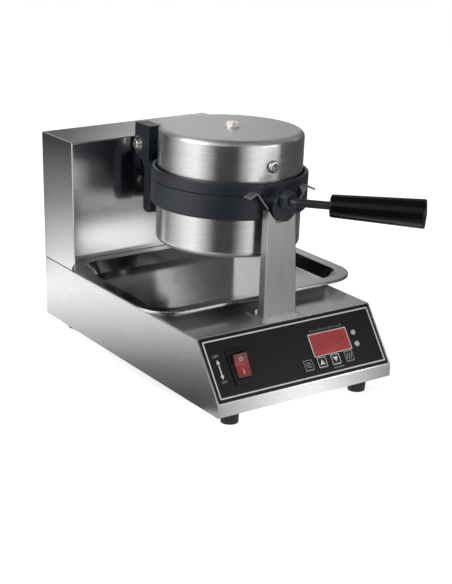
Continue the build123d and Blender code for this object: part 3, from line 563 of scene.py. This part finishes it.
# Unlit digits behind the display window: where each segment lies, and whether it lies level
SEGMENTS = ((0, 6.2, True), (0, 0, True), (0, -6.2, True),
            (-3.1, 3.1, False), (3.1, 3.1, False), (-3.1, -3.1, False), (3.1, -3.1, False))
SEGMENT_HALF = 2.35
SEGMENT_SLIM = 0.62
DIGIT_LEAN = 0.12
DIGIT_DEPTH = 1.0
inner_half = SEGMENT_HALF - SEGMENT_SLIM
LEVEL_OUTLINE = ((-SEGMENT_HALF, 0), (-inner_half, -SEGMENT_SLIM), (inner_half, -SEGMENT_SLIM),
                 (SEGMENT_HALF, 0), (inner_half, SEGMENT_SLIM), (-inner_half, SEGMENT_SLIM))
UPRIGHT_OUTLINE = ((0, -SEGMENT_HALF), (SEGMENT_SLIM, -inner_half), (SEGMENT_SLIM, inner_half),
                   (0, SEGMENT_HALF), (-SEGMENT_SLIM, inner_half), (-SEGMENT_SLIM, -inner_half))
digits = bmesh.new()
for across in (-16.5, -5.8, 5.8, 16.5):
    for x, y, level in SEGMENTS:
        points = []
        for dx, dy in LEVEL_OUTLINE if level else UPRIGHT_OUTLINE:
            points.append((across + x + dx + DIGIT_LEAN * (y + dy), y + dy))
        flat_polygon(digits, points, THIN_INK)
for up in (-2.6, 2.6):
    disc(digits, DIGIT_LEAN * up, up, 0.75, THIN_INK, 0.0, 12)
piece("display_digits", placed(digits, panel_matrix(*DISPLAY, DIGIT_DEPTH)), "digit", "base")

# Key caps: a thin outline and a plain sign on each
for name, across in KEYS.items():
    cap = bmesh.new()
    frame_line(cap, 0, 0, 12.4, 12.4, 0.75, 1.1, THIN_INK)
    if name == "up":
        flat_polygon(cap, [(-3.6, -3.0), (3.6, -3.0), (0, 3.6)], THIN_INK)
    elif name == "down":
        flat_polygon(cap, [(-3.6, 3.0), (0, -3.6), (3.6, 3.0)], THIN_INK)
    elif name == "set":
        for k in (-1, 0, 1):
            y = 2.4 * k
            bar(cap, -3.6, 3.6, y - 0.3, y + 0.3, THIN_INK)
            disc(cap, 1.8 if k else -1.8, y, 0.95, 0.07, 0.0, 14)
    else:
        for k in (-1, 0, 1):
            x = 3.1 * k
            slash = [(x - 2.2, -3.8), (x - 1.2, -3.8), (x + 2.2, 3.8), (x + 1.2, 3.8)]
            flat_polygon(cap, slash, THIN_INK)
    look = "grey_ink" if name in ("set", "heat") else "ink"
    sign = placed(cap, panel_matrix(across, KEY_ROW, CAP))
    piece(f"key_{name}_sign", sign, look, f"key_{name}_body")


# Signs on the two halves of the rocker, whose faces rise from the waist to the ends
ROCKER_PIVOT_OUT = 0.5
ROCKER_REST = radians(8)
WAIST_HEIGHT = 4.4
END_RISE = 1.2
END_REACH = 14.2
SIGN_LIFT = 0.02
SIGN_REACH = 7.4
half_tilt = atan2(END_RISE, END_REACH)


def rocker_matrix(up, tilt):
    pivot = panel_matrix(*ROCKER, ROCKER_PIVOT_OUT) @ Matrix.Rotation(ROCKER_REST, 4, "X")
    rise = WAIST_HEIGHT + abs(up) * (END_RISE / END_REACH)
    return pivot @ Matrix.Translation((0, up, rise + SIGN_LIFT)) @ Matrix.Rotation(tilt, 4, "X")


ring_sign = bmesh.new()
disc(ring_sign, 0, 0, 2.3, INK, 1.6, 28)
piece("rocker_ring_sign", placed(ring_sign, rocker_matrix(SIGN_REACH, half_tilt)), "ink", "rocker")
bar_sign = bmesh.new()
bar(bar_sign, -0.4, 0.4, -2.8, 2.8)
piece("rocker_bar_sign", placed(bar_sign, rocker_matrix(-SIGN_REACH, -half_tilt)), "ink", "rocker")


# Studio
# Brightness that the floor adds to its own shading, seen straight and mirrored
FLOOR_SEEN = 0.7
FLOOR_MIRRORED = 0.5
FLOOR_WIDTH = 30


def plane_object(name, size_x, size_y, matrix):
    shape = bmesh.new()
    bmesh.ops.create_grid(shape, x_segments=1, y_segments=1, size=0.5)
    bmesh.ops.scale(shape, vec=(size_x, size_y, 1), verts=shape.verts)
    bmesh.ops.transform(shape, matrix=matrix, verts=shape.verts)
    mesh = bpy.data.meshes.new(name)
    shape.to_mesh(mesh)
    shape.free()
    made = bpy.data.objects.new(name, mesh)
    bpy.context.scene.collection.objects.link(made)
    return made


def floor_finish():
    made = Finish("studio_floor", (0.78, 0.78, 0.78), 0.9)
    paper = made.noise(3, (1, 1, 1), 2)
    made.set("Base Color", made.tint(paper, (0.77, 0.77, 0.77), (0.79, 0.79, 0.79)))
    rays = made.node("ShaderNodeLightPath").outputs
    mirrored = made.maths("MAXIMUM", rays["Is Glossy Ray"], rays["Is Transmission Ray"])
    seen = made.maths("MULTIPLY", rays["Is Camera Ray"], FLOOR_SEEN)
    made.shader.inputs["Emission Color"].default_value = (1, 1, 1, 1)
    added = made.maths("MULTIPLY", mirrored, FLOOR_MIRRORED)
    made.set("Emission Strength", made.maths("ADD", seen, added))
    return made.material


floor = plane_object("floor", FLOOR_WIDTH, FLOOR_WIDTH, Matrix.Identity(4))
floor.data.materials.append(floor_finish())

# Directions round the object, measured from the camera's side, positive to its right
CAMERA_AZIMUTH = radians(-33.69)
CAMERA_ELEVATION = 18.58
CAMERA_ROLL = radians(0.77)
CAMERA_DISTANCE = 1.8489
CAMERA_LENS = 88.82
CAMERA_TARGET = Vector((0.01971, 0.03305, 0.08276))
NEAR = Vector((sin(CAMERA_AZIMUTH), -cos(CAMERA_AZIMUTH), 0))
RIGHT = Vector((cos(CAMERA_AZIMUTH), sin(CAMERA_AZIMUTH), 0))


def towards(angle, elevation=0.0):
    a = radians(angle)
    e = radians(elevation)
    level = NEAR * cos(a) + RIGHT * sin(a)
    return level * cos(e) + UP * sin(e)


def look_at(place, goal):
    return (goal - place).to_track_quat("-Z", "Y").to_matrix().to_4x4()


HEAD_CENTRE = at(0, HEAD_Y, AXIS_Z)


def softbox(name, angle, elevation, distance, width, height, level):
    """A soft lamp whose face is this bright."""
    lamp = bpy.data.lights.new(name, "AREA")
    lamp.shape = "RECTANGLE"
    lamp.size = width
    lamp.size_y = height
    lamp.energy = level * pi * width * height
    made = bpy.data.objects.new(name, lamp)
    bpy.context.scene.collection.objects.link(made)
    place = HEAD_CENTRE + towards(angle, elevation) * distance
    made.matrix_world = Matrix.Translation(place) @ look_at(place, HEAD_CENTRE)


# Graded cards stand round the machine for the metal to mirror. They throw no light and no shadow
BRIGHTEST = 3.0


def card_cloth(name):
    cloth = Finish(name + "_cloth", (0, 0, 0), 1.0)
    cloth.shader.inputs["Specular IOR Level"].default_value = 0.0
    cloth.shader.inputs["Emission Color"].default_value = (1, 1, 1, 1)
    return cloth


def graded(cloth, value, stops):
    """Brightness along a value: stops are pairs of a place and a level."""
    first, last = stops[0][0], stops[-1][0]
    ramp = cloth.node("ShaderNodeValToRGB")
    marks = ramp.color_ramp.elements
    for place, level in stops[1:-1]:
        marks.new((place - first) / (last - first))
    for mark, (place, level) in zip(marks, stops):
        share = level / BRIGHTEST
        mark.color = (share, share, share, 1)
    cloth.join(cloth.spread(value, 0, 1, first, last), ramp.inputs["Fac"])
    cloth.set("Emission Strength", cloth.maths("MULTIPLY", ramp.outputs["Color"], BRIGHTEST))


def along(cloth, origin, direction):
    """How far a point of the card lies from the origin in one direction, in metres."""
    reach = cloth.node("ShaderNodeVectorMath", operation="DOT_PRODUCT")
    cloth.join(cloth.vectors("SUBTRACT", cloth.place, origin), reach.inputs[0])
    reach.inputs[1].default_value = tuple(direction)
    return reach.outputs["Value"]


def mirrored_only(card, cloth):
    card.data.materials.append(cloth.material)
    card.visible_camera = False
    card.visible_diffuse = False
    card.visible_shadow = False


TABLE_Z = -19.0
FLOOR_MIDDLE = at(0, 0, TABLE_Z)
HEAD_FOOT = at(0, HEAD_Y, TABLE_Z)
CARD_LIFT = 0.004


def standing_card(name, angle, distance, left, right, low, high, stops, upright=False):
    """A card across one direction from the head: left and right are distances from that line."""
    facing = towards(angle)
    across = UP.cross(-facing)
    place = HEAD_FOOT + facing * distance + across * (left + right) / 2 + UP * (low + high) / 2
    turn = Matrix((across, UP, -facing)).transposed().to_4x4()
    card = plane_object(name, right - left, high - low, Matrix.Translation(place) @ turn)
    cloth = card_cloth(name)
    if upright:
        graded(cloth, along(cloth, HEAD_FOOT, UP), stops)
    else:
        graded(cloth, along(cloth, HEAD_FOOT, across), stops)
    mirrored_only(card, cloth)


def lying_card(name, angle, near, far, left, right, stops, outwards=True):
    """A card on the floor: near to far along one direction from under the machine's middle."""
    ahead = towards(angle)
    across = UP.cross(ahead)
    place = FLOOR_MIDDLE + ahead * (near + far) / 2 + across * (left + right) / 2 + UP * CARD_LIFT
    turn = Matrix((ahead, across, UP)).transposed().to_4x4()
    card = plane_object(name, far - near, right - left, Matrix.Translation(place) @ turn)
    cloth = card_cloth(name)
    graded(cloth, along(cloth, FLOOR_MIDDLE, ahead if outwards else across), stops)
    mirrored_only(card, cloth)


SURROUND_SIDES = 96


def surround(name, profile, stops):
    """A turned band round the head, graded by the angle from the camera's side."""
    shape = bmesh.new()
    circle = bmesh.ops.create_circle(shape, segments=SURROUND_SIDES, radius=profile[0][0])
    bottom = circle["verts"]
    bmesh.ops.translate(shape, verts=bottom, vec=HEAD_FOOT + UP * profile[0][1])
    ring = shape.edges[:]
    for (r0, z0), (r1, z1) in zip(profile, profile[1:]):
        grown = bmesh.ops.extrude_edge_only(shape, edges=ring)["geom"]
        ring = [e for e in grown if isinstance(e, bmesh.types.BMEdge)]
        moved = [v for v in grown if isinstance(v, bmesh.types.BMVert)]
        centre = HEAD_FOOT + UP * z0
        bmesh.ops.translate(shape, verts=moved, vec=-centre)
        bmesh.ops.scale(shape, verts=moved, vec=(r1 / r0, r1 / r0, 1))
        bmesh.ops.translate(shape, verts=moved, vec=centre + UP * (z1 - z0))
    mesh = bpy.data.meshes.new(name)
    shape.to_mesh(mesh)
    shape.free()
    band = bpy.data.objects.new(name, mesh)
    bpy.context.scene.collection.objects.link(band)
    cloth = card_cloth(name)
    side = along(cloth, HEAD_FOOT, RIGHT)
    front = along(cloth, HEAD_FOOT, NEAR)
    angle = cloth.maths("DEGREES", cloth.maths("ARCTAN2", side, front))
    graded(cloth, angle, stops)
    mirrored_only(band, cloth)


def hanging_card(name, centre, width, stops):
    """A level card overhead that faces down, graded from left to right."""
    turn = Matrix.Rotation(pi, 4, "X")
    card = plane_object(name, width, width, Matrix.Translation(centre) @ turn)
    cloth = card_cloth(name)
    graded(cloth, along(cloth, centre, Vector((1, 0, 0))), stops)
    mirrored_only(card, cloth)


softbox("left_softbox", -62, 34, 1.9, 1.6, 2.0, 2.1)
softbox("right_softbox", 66, 20, 1.9, 0.9, 1.1, 1.8)
softbox("top_softbox", -150, 72, 2.0, 2.2, 1.6, 0.9)

# Two soft lights with a dark front between them, by angle: how bright the surround is
UPPER = [(-180, 0.8), (-155, 0.15), (-105, 0.2), (-65, 1.3), (-50, 1.4), (-20, 0.05), (10, 0.05),
         (35, 1.3), (45, 1.3), (75, 0.1), (150, 0.1), (180, 0.8)]
LOWER = [(-180, 0.15), (-105, 0.2), (-65, 1.3), (-50, 1.4), (-20, 0.05), (5, 0.05), (25, 0.9),
         (35, 0.8), (60, 0.3), (85, 0.3), (120, 0.1), (180, 0.15)]
surround("lower_surround", [(0.33, 0.002), (0.56, 0.002), (0.61, 0.045)], LOWER)
surround("upper_surround", [(0.61, 0.045), (0.63, 0.4)], UPPER)

# Soft edged lights that the base's left side, its front lip and the column mirror
BASE_SIDE = [(0.0, 0.1), (0.1, 0.25), (0.4, 1.5), (0.6, 1.4)]
FRONT_LIP = [(-0.25, 0.25), (-0.13, 1.5), (-0.1, 1.5), (0.0, 0.3)]
COLUMN_SIDE = [(0.0, 1.3), (0.1, 0.4), (0.2, 0.05)]
COLUMN_FRONT = [(0.2, 0.3), (0.24, 3.0), (0.33, 3.0), (0.4, 0.3)]
# Angles that the left and the front faces mirror
LEFT_ANGLE = -112.6
FRONT_ANGLE = 67.4
lying_card("left_floor_card", LEFT_ANGLE, -0.05, 0.6, -0.06, 0.26, BASE_SIDE)
lying_card("front_floor_card", FRONT_ANGLE, 0.05, 0.33, -0.3, 0.1, FRONT_LIP, outwards=False)
standing_card("column_card", LEFT_ANGLE, 0.55, -0.03, 0.08, 0.0, 0.3, COLUMN_SIDE, upright=True)
standing_card("bright_card", FRONT_ANGLE, 0.58, -0.065, 0.25, 0.17, 0.5, COLUMN_FRONT, upright=True)

# Large cards higher up, for the flat tops, the tray and the handle
standing_card("dark_card", 90, 0.9, -0.45, 0.27, 0.24, 1.2, [(-0.45, 0.08), (0.27, 0.08)])
standing_card("high_dark_card", 77, 0.85, -0.5, 0.5, 0.55, 1.6, [(-0.5, 0.1), (0.5, 0.1)])
standing_card("back_card", 180, 0.9, -0.5, 0.5, 0.45, 0.85,
              [(-0.3, 0.3), (-0.05, 1.5), (0.5, 1.5)])
standing_card("front_card", 12, 0.8, -0.45, 0.45, 0.42, 1.5,
              [(-0.45, 0.9), (-0.1, 0.3), (0.1, 0.3), (0.45, 0.9)])
standing_card("left_card", -118, 0.75, -0.55, 0.55, 0.42, 1.3,
              [(-0.55, 0.9), (-0.1, 0.15), (0.1, 0.15), (0.55, 0.9)])
standing_card("right_card", 148, 0.75, -0.5, 0.5, 0.42, 1.3,
              [(-0.5, 0.9), (-0.1, 0.12), (0.1, 0.12), (0.5, 0.9)])
hanging_card("ceiling_card", Vector((0.4, -0.2, 1.7)), 3.6,
             [(-1.8, 0.3), (-0.4, 0.06), (0.4, 0.06), (1.8, 0.3)])

# White where it is seen or mirrored, and dimmer as a source of light
WORLD_LIGHT = 0.3
WORLD_SEEN = 1.0
world = bpy.data.worlds.new("studio")
bpy.context.scene.world = world
world.use_nodes = True
tree = world.node_tree
back = tree.nodes["Background"]
path = tree.nodes.new("ShaderNodeLightPath")
seen = path.outputs["Is Camera Ray"]
for ray in ("Is Glossy Ray", "Is Transmission Ray"):
    either = tree.nodes.new("ShaderNodeMath")
    either.operation = "MAXIMUM"
    tree.links.new(seen, either.inputs[0])
    tree.links.new(path.outputs[ray], either.inputs[1])
    seen = either.outputs[0]
level = tree.nodes.new("ShaderNodeMapRange")
level.inputs["To Min"].default_value = WORLD_LIGHT
level.inputs["To Max"].default_value = WORLD_SEEN
tree.links.new(seen, level.inputs["Value"])
tree.links.new(level.outputs["Result"], back.inputs["Strength"])
back.inputs["Color"].default_value = (1, 1, 1, 1)

# Camera
lens = bpy.data.cameras.new("photo_camera")
lens.sensor_fit = "VERTICAL"
lens.sensor_height = 36.0
lens.sensor_width = 36.0
lens.lens = CAMERA_LENS
camera = bpy.data.objects.new("photo_camera", lens)
bpy.context.scene.collection.objects.link(camera)
away = towards(0, CAMERA_ELEVATION)
ahead = -away
right = ahead.cross(UP).normalized()
above = right.cross(ahead)
rolled_right = right * cos(CAMERA_ROLL) + above * sin(CAMERA_ROLL)
rolled_above = above * cos(CAMERA_ROLL) - right * sin(CAMERA_ROLL)
turn = Matrix((rolled_right, rolled_above, away)).transposed().to_4x4()
camera.matrix_world = Matrix.Translation(CAMERA_TARGET + away * CAMERA_DISTANCE) @ turn
bpy.context.scene.camera = camera

bpy.context.scene.view_settings.view_transform = "Standard"


def plain(bounds):
    return [[float(c) for c in corner] for corner in bounds]
